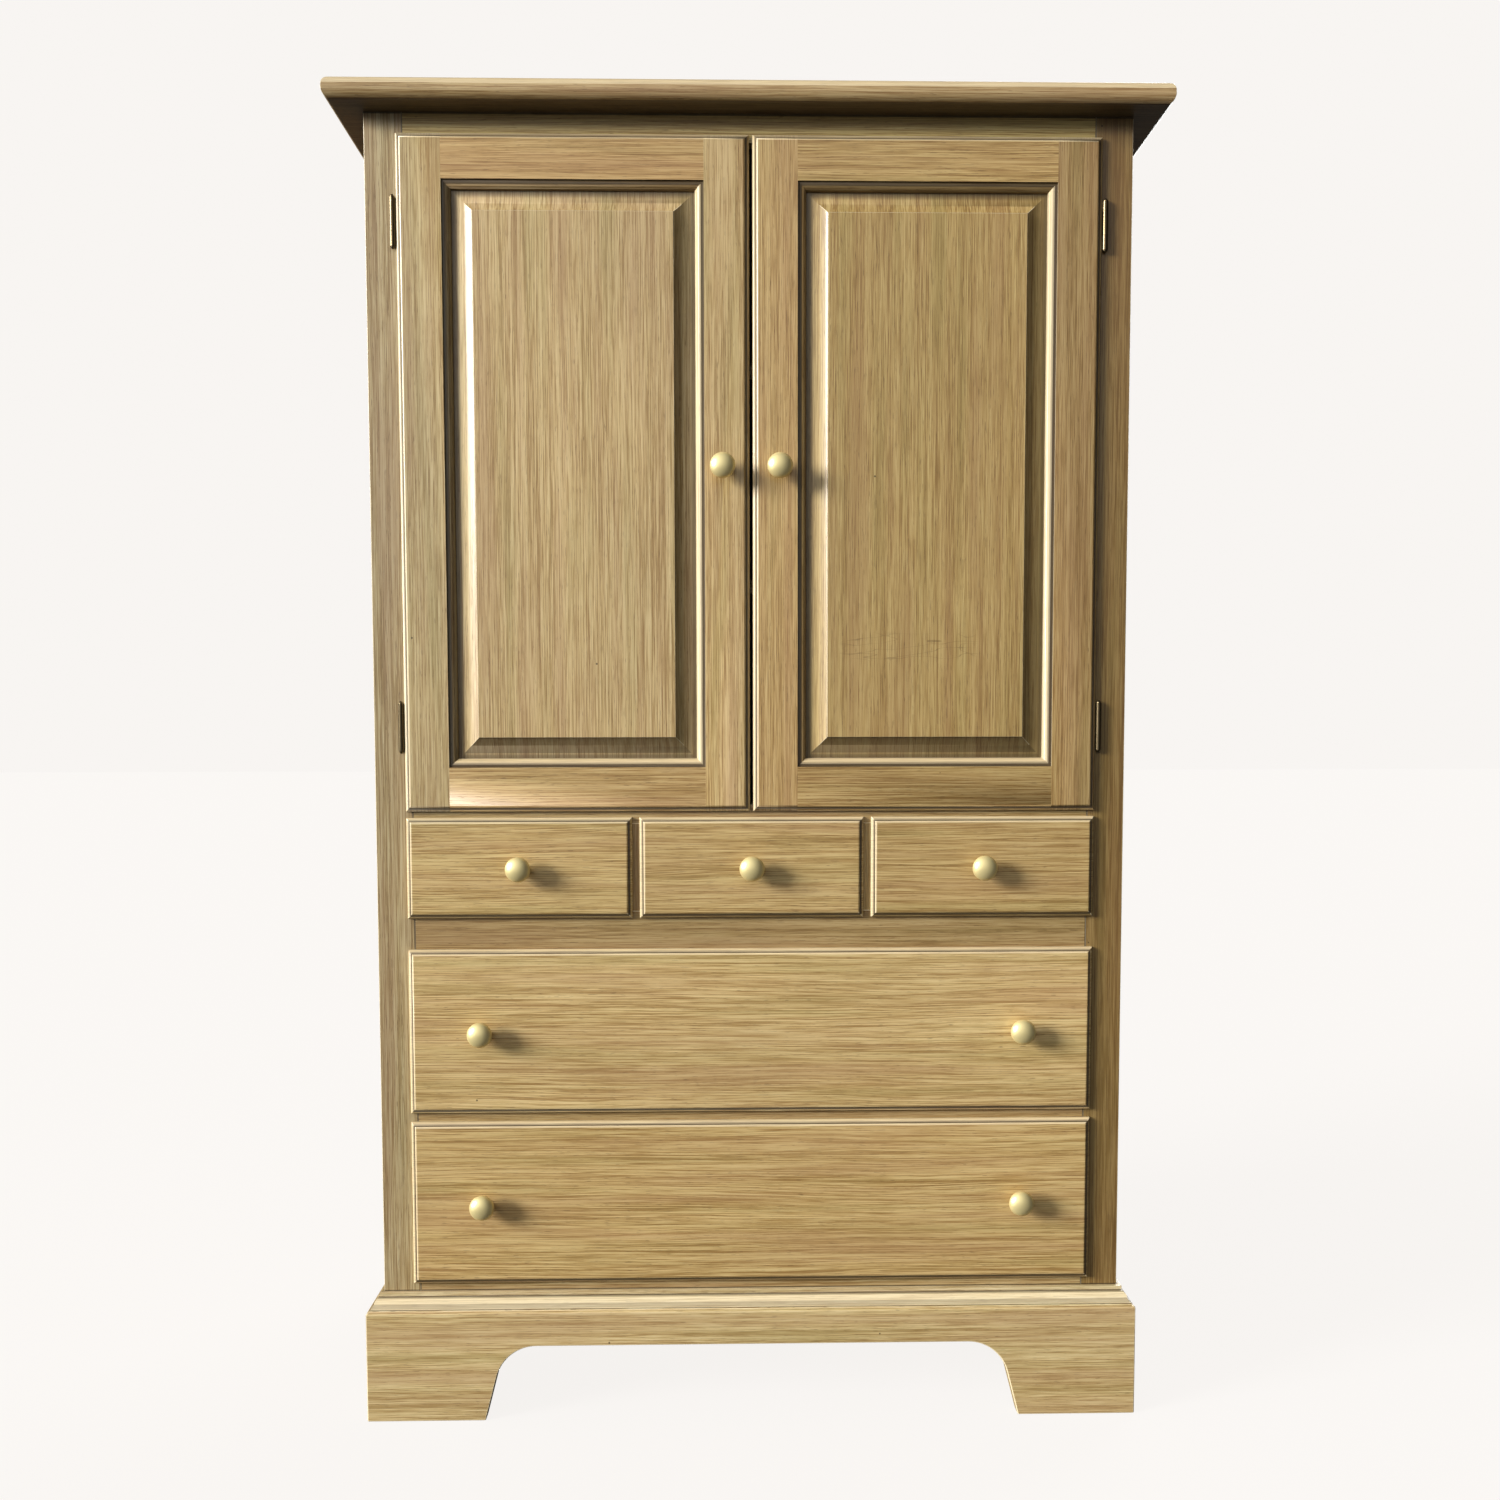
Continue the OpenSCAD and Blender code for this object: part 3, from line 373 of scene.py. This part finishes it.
# Dark lines under the slab, over the moulding and where the rails meet the stiles. The line under the
# slab is partly painted shade, and the faint darkening over the top 26 mm is the slab's painted shadow.
seams_and_shade_lines = (("Z", case_top, 3.5 * mm, 0.9), ("Z", case_top, 26 * mm, 0.3),
         ("Z", moulding_top, 2.4 * mm, 0.85), ("X", rail_end, 1.3 * mm, 0.85))
case_upright = wood("case_upright", "z", honey, seams_and_shade_lines=seams_and_shade_lines)
case_level = wood("case_level", "x", honey, seams_and_shade_lines=seams_and_shade_lines)
case_deep = wood("case_deep", "y", honey)
# The tones are partly the boards' own colour and partly painted light: the right stile is much darker
# as painted shade beside the right door and light falling off to the right.
for node, tone in (("side_panel_left", (0.92, 0.92, 0.90)),
                   ("side_panel_right", (0.84, 0.82, 0.76)),
                   ("face_stile_left", (0.70, 0.76, 0.86)),
                   ("face_stile_right", (0.44, 0.39, 0.28)),
                   ("drawer_dividers", (0.72, 0.70, 0.62))):
    shaped(node, case_upright, tone=tone)
for node, tone in (("top_rail", (0.92, 0.96, 0.72)), ("door_rail", (0.72, 0.71, 0.65)),
                   ("small_drawer_rail", (0.66, 0.64, 0.58)),
                   ("large_drawer_rail", (0.68, 0.66, 0.60)),
                   ("bottom_rail", (0.80, 0.80, 0.78))):
    shaped(node, case_level, arris=0.4 * mm, tone=tone)

# ---- case inside ----
# Back, floors, dust panels, shelves and drawer guides of plain lighter wood, sanded and
# thinly oiled without stain or glaze; the brown strips in their inside corners are painted shade.
raw = {"dark": colour(176, 148, 104), "mid": colour(205, 182, 140), "light": colour(222, 204, 168),
       "rosy": colour(200, 170, 134), "olive": colour(190, 176, 132), "pore": colour(130, 104, 68),
       "edge": colour(228, 212, 178), "glaze": colour(108, 84, 54)}
inner_upright = wood("inner_upright", "z", raw, 0.58, 0.0)
inner_level = wood("inner_level", "x", raw, 0.58, 0.0)
inner_deep = wood("inner_deep", "y", raw, 0.58, 0.0)
shaped("back_panel", inner_upright, arris=0.3 * mm)
for node in ("cupboard_floor", "dust_panels", "case_bottom", "shelves"):
    shaped(node, inner_level, arris=0.6 * mm)
for node in ("drawer_guides", "drawer_kickers", "top_cleats"):
    shaped(node, inner_deep, arris=0.5 * mm)

# ---- top slab ----
# One glued-up board with its grain from side to side. Its front and ends are rounded under
# and over, with a faint crease where the upper curve begins.
broad_level = wood("broad_level", "x", honey)
# Painted shade on the faces turned down under the slab, painted highlight on the upper curve of its
# front and ends; its lowered tone is partly painted light.
slab_painted_light = (("glaze", (0, 0, -1), 0.93, 0.8), ("arris", (0, -1, 1), 0.86, 0.55),
             ("arris", (-1, 0, 1), 0.86, 0.55), ("arris", (1, 0, 1), 0.86, 0.4))
shaped("top_slab", broad_level, arris=0.5 * mm, tone=(0.78, 0.77, 0.76),
       painted_light=slab_painted_light)

# ---- base ----
# Bracket boards mitred at the front corners and sawn out to an arch between the feet, with a
# fillet and ogee moulding on top and glue blocks behind the feet.
# The base boards' raised tones are partly painted light, brightening the base.
shaped("base_front", broad_level, arris=1.5 * mm, tone=(1.02, 1.08, 1.12))
for node in ("base_side_left", "base_side_right"):
    shaped(node, case_deep, arris=1.5 * mm, tone=(1.0, 1.04, 1.06))
low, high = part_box("base_moulding")
drop = high.z - low.z
upper_step, lower_step = high.z - 0.28 * drop, high.z - 0.74 * drop
# Dark lines along the moulding's two steps: painted shade in its quirks, with some glaze. The raised
# tone and the cream on faces turned up and forward are painted highlight; the brown on faces turned
# down is painted shade.
moulding_level = wood("moulding_level", "x", honey, seams_and_shade_lines=(
    ("Z", upper_step, 1.6 * mm, 0.5), ("Z", lower_step, 3.5 * mm, 0.42)))
moulding_painted_light = (("arris", (0, -1, 1), 0.8, 0.6), ("glaze", (0, -0.5, -1), 0.7, 0.6))
shaped("base_moulding", moulding_level, arris=0.4 * mm, quirk=0.8 * mm,
       tone=(1.25, 1.42, 1.75), painted_light=moulding_painted_light)
shaped("base_back", inner_level)
shaped("foot_blocks", inner_upright, arris=1.2 * mm)

# ---- doors ----
# Frames of two stiles and two rails with a moulded inner edge, grooved for a raised panel that
# floats in them. A rounded lip runs round the outside.
# Depths behind the fronts that darken: the lip's step, the lip's outer side and the panel's groove;
# partly glaze, partly painted shade in the corners and in the gaps round the fronts.
lip_step, lip_side = (1.2, 1.8, 2.4, 3.1, 0.95), (5.5, 9.3, 10.5, 11.5, 0.85)
recesses = (lip_step, lip_side)
groove = (8.6, 10.1, 10.5, 11.5, 0.75)
front_upright = wood("front_upright", "z", honey, recesses=recesses)
front_level = wood("front_level", "x", honey, recesses=recesses)
panel_upright = wood("panel_upright", "z", honey, recesses=(groove,), scratched=True)
to_left, to_right = (-0.8, -0.6, 0), (0.8, -0.6, 0)
to_top, to_bottom = (0, -0.6, 0.8), (0, -0.6, -0.8)
turned_to = 0.72
# Painted light by direction: cream on faces turned left and up is painted highlight, brown on faces
# turned right and down is painted shade; little on the lips, much in moulded inner edges and panels.
painted_highlights = (("arris", to_left, turned_to, 0.6), ("arris", to_top, turned_to, 0.55))
lip_painted_light = (*painted_highlights, ("glaze", to_right, turned_to, 0.10), ("glaze", to_bottom, turned_to, 0.16))
deep_painted_light = (*painted_highlights, ("glaze", to_right, turned_to, 0.52), ("glaze", to_bottom, turned_to, 0.58))
panel_painted_light = (("arris", to_left, turned_to, 0.08), ("glaze", to_right, turned_to, 0.5),
              ("glaze", to_bottom, turned_to, 0.74))
# Each member's tone is partly its own colour and partly painted light: the right door is darker and
# yellower as the light falls off to the right.
for side, tones in (("left", {"hinge_stile": (0.84, 0.90, 0.96), "lock_stile": (0.94, 0.94, 0.91),
                              "top_rail": (0.92, 0.84, 0.70), "bottom_rail": (0.94, 0.90, 0.80),
                              "panel": (0.97, 1.0, 1.02)}),
                    ("right", {"hinge_stile": (0.67, 0.63, 0.54), "lock_stile": (0.86, 0.82, 0.72),
                               "top_rail": (0.80, 0.76, 0.62), "bottom_rail": (0.80, 0.76, 0.64),
                               "panel": (0.79, 0.77, 0.62)})):
    right_hand = "lock_stile" if side == "left" else "hinge_stile"
    for member, tone in tones.items():
        finish, slot, arris, quirk = front_level, "front_wood", 0.6 * mm, 1.6 * mm
        painted_light = lip_painted_light if member in (right_hand, "bottom_rail") else deep_painted_light
        if "stile" in member:
            finish = front_upright
        if member == "panel":
            finish, slot, arris, quirk = panel_upright, "panel_wood", 0.4 * mm, 0.5 * mm
            painted_light = panel_painted_light
        shaped(f"{side}_door_{member}", finish, arris, quirk, tone=tone, painted_light=painted_light)

# ---- drawers ----
# Lipped solid fronts, each with the grain across, on boxes of thin plain boards: two grooved
# sides, a back, and a bottom slid into the grooves.
drawer_level = wood("drawer_level", "x", honey, recesses=recesses, wander=26 * mm)
# The fronts' tones are partly their own colour and partly painted light: darker towards the right, and
# the upper large drawer lighter.
for drawer, tone in (("small_drawer_left", (0.93, 0.94, 0.86)),
                     ("small_drawer_middle", (0.90, 0.90, 0.82)),
                     ("small_drawer_right", (0.84, 0.83, 0.74)),
                     ("upper_large_drawer", (1.12, 1.14, 1.10)),
                     ("lower_large_drawer", (0.95, 0.94, 0.85))):
    shaped(f"{drawer}_front", drawer_level, 0.6 * mm, 1.6 * mm, tone=tone,
           painted_light=lip_painted_light)
    shaped(f"{drawer}_box", inner_deep, arris=0.8 * mm, quirk=0)


# ---- hinges and catches ----
# Brass butt hinges gone dark brown, with their barrels outside; each leaf is folded round the
# lip. Steel catches behind the top rail, and steel strike plates on the doors.
def metal(name, bright, dull, roughness, bare=1.0):
    """Aged metal of an even tone, halfway between its rubbed and its dull colour. It is bare by
    that much, and the rest shows as a lacquer with colour of its own."""
    finish = bpy.data.materials.new(name)
    m = blank(finish)
    place = m.node("TexCoord", {}, {}, "Object")
    grain = m.node("TexNoise", {}, {"Vector": place, "Scale": 900.0, "Detail": 3.0,
                                    "Roughness": 0.6})
    bump = m.node("Bump", {}, {"Strength": 0.12, "Distance": 0.15 * mm, "Height": grain})
    body, tarnish = tuple((rubbed + dulled) / 2 for rubbed, dulled in zip(bright, dull)), 0.11
    surface = m.node("BsdfPrincipled", {}, {
        "Base Color": body, "Metallic": bare, "Normal": bump,
        "Roughness": (grain - 0.5) * 0.12 + (roughness + tarnish)})
    m.node("OutputMaterial", {}, {"Surface": surface})
    return finish


dark_brass = metal("dark_brass", colour(140, 124, 94), colour(30, 25, 18), 0.20)
catch_steel = metal("catch_steel", colour(196, 196, 198), colour(128, 126, 122), 0.30)
pin_brass = metal("pin_brass", colour(206, 178, 110), colour(140, 112, 60), 0.28)
for node in ("frame_hinge_leaves", "hinge_pins", "left_door_hinge_leaves",
             "right_door_hinge_leaves"):
    shaped(node, dark_brass, arris=0.15 * mm, quirk=0, name="metal")
for node in ("door_catches", "left_door_strike", "right_door_strike"):
    shaped(node, catch_steel, arris=0.25 * mm, quirk=0, name="metal")
shaped("shelf_pins", pin_brass, arris=0.3 * mm, quirk=0, name="metal")

# ---- knobs ----
# Turned brass knobs, a ball on a neck and a round rose, under an old lacquer, each held by a
# round-headed screw from inside the front.
knob_brass = metal("knob_brass", colour(255, 253, 206), colour(204, 166, 66), 0.32, 0.5)
low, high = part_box("left_door_knob")
knob_r, knob_out, ball_half = (high.x - low.x) / 2, 29 * mm, 10.5 * mm
head_out = 2.0 * mm
head_profile = [(r * mm, h * mm) for r, h in ((0, 0), (4.0, 0), (4.0, 0.5), (3.6, 1.2), (2.8, 1.7))]
head_profile.append((0, head_out))


def knob_profile():
    """Radius and height of the turned shape, from the middle of the rose's back to the crown."""
    points = [(0, 0), (8.8, 0), (8.8, 1.1), (8.5, 1.9), (7.7, 2.4), (7.0, 2.5), (6.9, 3.0),
              (6.3, 3.5), (5.7, 3.6), (5.3, 4.4), (5.1, 5.6), (5.3, 6.9), (6.0, 8.2)]
    points = [(r * mm, h * mm) for r, h in points]
    neck_angle, crown_angle, steps = -62, 90, 24
    for step in range(steps + 1):
        angle = math.radians(neck_angle + (crown_angle - neck_angle) * step / steps)
        points.append((knob_r * math.cos(angle),
                       knob_out - ball_half + ball_half * math.sin(angle)))
    return points


def turned(mesh, profile, centre, out, segments=48):
    """Adds a shape turned round an axis to a mesh; the profile's ends lie on the axis."""
    out = Vector(out).normalized()
    across = out.orthogonal().normalized()
    over = out.cross(across)
    on_axis = 0.001 * mm
    rings = []
    for r, h in profile:
        middle = Vector(centre) + out * h
        if r < on_axis:
            rings.append([mesh.verts.new(middle)])
        else:
            rings.append([mesh.verts.new(middle + (across * math.cos(a) + over * math.sin(a)) * r)
                          for a in (2 * math.pi * i / segments for i in range(segments))])
    for low, high in zip(rings, rings[1:]):
        for k in range(segments):
            n = (k + 1) % segments
            ring = [low[k % len(low)], low[n % len(low)], high[n % len(high)], high[k % len(high)]]
            mesh.faces.new(list(dict.fromkeys(ring))).smooth = True


def knobs(node, front):
    """The knobs and their screws that stand for one CAD node, on one front."""
    low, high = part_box(node)
    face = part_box(front)[0].y
    middle_z = (low.z + high.z) / 2
    spots = {round((low.x + knob_r) / mm), round((high.x - knob_r) / mm)}
    made = bmesh.new()
    for spot in spots:
        turned(made, knob_profile(), (spot * mm, face, middle_z), (0, -1, 0))
        turned(made, head_profile, (spot * mm, high.y - head_out, middle_z), (0, 1, 0), 24)
    bmesh.ops.recalc_face_normals(made, faces=made.faces)
    mesh = bpy.data.meshes.new(f"{node}_turned")
    made.to_mesh(mesh)
    made.free()
    mesh.set_sharp_from_angle(angle=crease)
    piece = bpy.data.objects.new(f"{node}_turned", mesh)
    bpy.context.collection.objects.link(piece)
    mesh.materials.append(knob_brass)
    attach(piece, home[node])
    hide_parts(node)


for side in ("left", "right"):
    knobs(f"{side}_door_knob", f"{side}_door_lock_stile")
for drawer in ("small_drawer_left", "small_drawer_middle", "small_drawer_right"):
    knobs(f"{drawer}_knob", f"{drawer}_front")
for drawer in ("upper_large_drawer", "lower_large_drawer"):
    knobs(f"{drawer}_knobs", f"{drawer}_front")

# ---- screws ----
# Small slotted brass screws, sunk almost flush and each left at its own turn: three in each
# leaf of the hinges, two in each strike plate, and rows round the back and along its floors.
tree = bpy.data.node_groups.new("screws", "GeometryNodeTree")
for part, kind in (("Places", "Geometry"), ("Head radius", "Float"), ("Head height", "Float"),
                   ("Slot width", "Float"), ("Proud", "Float"), ("Finish", "Material"),
                   ("Turns", "Int")):
    tree.interface.new_socket(part, in_out="INPUT", socket_type="NodeSocket" + kind)
tree.interface.new_socket("Screws", in_out="OUTPUT", socket_type="NodeSocketGeometry")
g = Maths(tree)
given = tree.nodes.new("NodeGroupInput").outputs
points, radius, tall, slot, proud, finish, turns = (Maths(tree, plug) for plug in list(given)[:7])
disc = g.node("GeometryNodeMeshCylinder", {},
              {"Vertices": 20, "Radius": radius, "Depth": tall}, "Mesh")
disc = g.node("GeometryNodeTransform", {}, {
    "Geometry": disc, "Translation": g.node("CombineXYZ", {}, {2: proud - tall * 0.5})})
bar = g.node("GeometryNodeMeshCube", {}, {
    "Size": g.node("CombineXYZ", {}, {0: radius * 4, 1: slot, 2: tall})})
bar = g.node("GeometryNodeTransform", {}, {
    "Geometry": bar, "Translation": g.node("CombineXYZ", {}, {2: proud * 0.15 + tall * 0.5})})
head = g.node("GeometryNodeMeshBoolean", {"operation": "DIFFERENCE"}, {0: disc, 1: bar})
way = g.node("GeometryNodeInputNamedAttribute", {"data_type": "FLOAT_VECTOR"}, {"Name": "out"})
stood = g.node("FunctionNodeAlignRotationToVector", {"axis": "Z"}, {"Vector": way})
angle = g.node("FunctionNodeRandomValue", {"data_type": "FLOAT"},
               {2: 0.0, 3: 2 * math.pi, "Seed": turns}, 1)
spun = g.node("FunctionNodeAxisAngleToRotation", {}, {"Axis": (0, 0, 1), "Angle": angle})
stood = g.node("FunctionNodeRotateRotation", {"rotation_space": "LOCAL"},
               {"Rotation": stood, "Rotate By": spun})
heads = g.node("GeometryNodeInstanceOnPoints", {},
               {"Points": points, "Instance": head, "Rotation": stood})
heads = g.node("GeometryNodeRealizeInstances", {}, {"Geometry": heads})
g.node("NodeGroupOutput", {}, {"Screws": g.node("GeometryNodeSetMaterial", {}, {
    "Geometry": heads, "Material": finish})})

screw_brass = metal("screw_brass", colour(186, 156, 96), colour(92, 74, 44), 0.30)
hinge_from_end, hole_step = 114 * mm, 21 * mm
case_leaf_x, case_leaf_y, door_leaf_x, door_leaf_y = 9.7 * mm, 9 * mm, 28 * mm, 10.7 * mm
from_strike_end, from_back_side, from_back_end = 7 * mm, 5 * mm, 14 * mm
step_across, first_up, step_up = 162 * mm, 140 * mm, 170 * mm
screws = {"case": [], "left_door": [], "right_door": []}
for side, inward in (("left", 1), ("right", -1)):
    low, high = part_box(f"{side}_door_hinge_stile")
    edge = low.x if side == "left" else high.x
    in_case, in_door = edge + inward * case_leaf_x, edge + inward * door_leaf_x
    for middle in (low.z + hinge_from_end, high.z - hinge_from_end):
        for z in (middle - hole_step, middle, middle + hole_step):
            screws["case"].append(((in_case, face_y + case_leaf_y, z), (inward, 0, 0)))
            screws[f"{side}_door"].append(((in_door, face_y + door_leaf_y, z), (0, 1, 0)))
    low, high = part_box(f"{side}_door_strike")
    for x in (low.x + from_strike_end, high.x - from_strike_end):
        screws[f"{side}_door"].append(((x, high.y, (low.z + high.z) / 2), (0, 1, 0)))
low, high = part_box("back_panel")
floors = [(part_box(node)[0].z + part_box(node)[1].z) / 2 for node in ("case_bottom", "cupboard_floor")]
for z in (low.z + from_back_end, *floors, high.z - from_back_end):
    screws["case"] += [((i * step_across, high.y, z), (0, 1, 0)) for i in range(-3, 4)]
for x in (low.x + from_back_side, high.x - from_back_side):
    screws["case"] += [((x, high.y, low.z + first_up + i * step_up), (0, 1, 0)) for i in range(9)]
sockets = {item.name: item.identifier for item in tree.interface.items_tree
           if item.in_out == "INPUT"}
for body, places in screws.items():
    mesh = bpy.data.meshes.new(f"{body}_screws")
    mesh.from_pydata([place for place, _ in places], [], [])
    mesh.attributes.new("out", "FLOAT_VECTOR", "POINT").data.foreach_set(
        "vector", [n for _, way in places for n in way])
    marked = bpy.data.objects.new(f"{body}_screw_places", mesh)
    bpy.context.collection.objects.link(marked)
    drive = marked.modifiers.new("screws", "NODES")
    drive.node_group = tree
    for part, value in (("Head radius", 3.2 * mm), ("Head height", 0.9 * mm),
                        ("Slot width", 0.8 * mm), ("Proud", 0.09 * mm),
                        ("Finish", screw_brass), ("Turns", 7)):
        drive[sockets[part]] = value
    shown = marked.evaluated_get(bpy.context.evaluated_depsgraph_get())
    made = bpy.data.meshes.new_from_object(shown)
    bpy.data.objects.remove(marked)
    piece = bpy.data.objects.new(f"{body}_screws", made)
    bpy.context.collection.objects.link(piece)
    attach(piece, body)
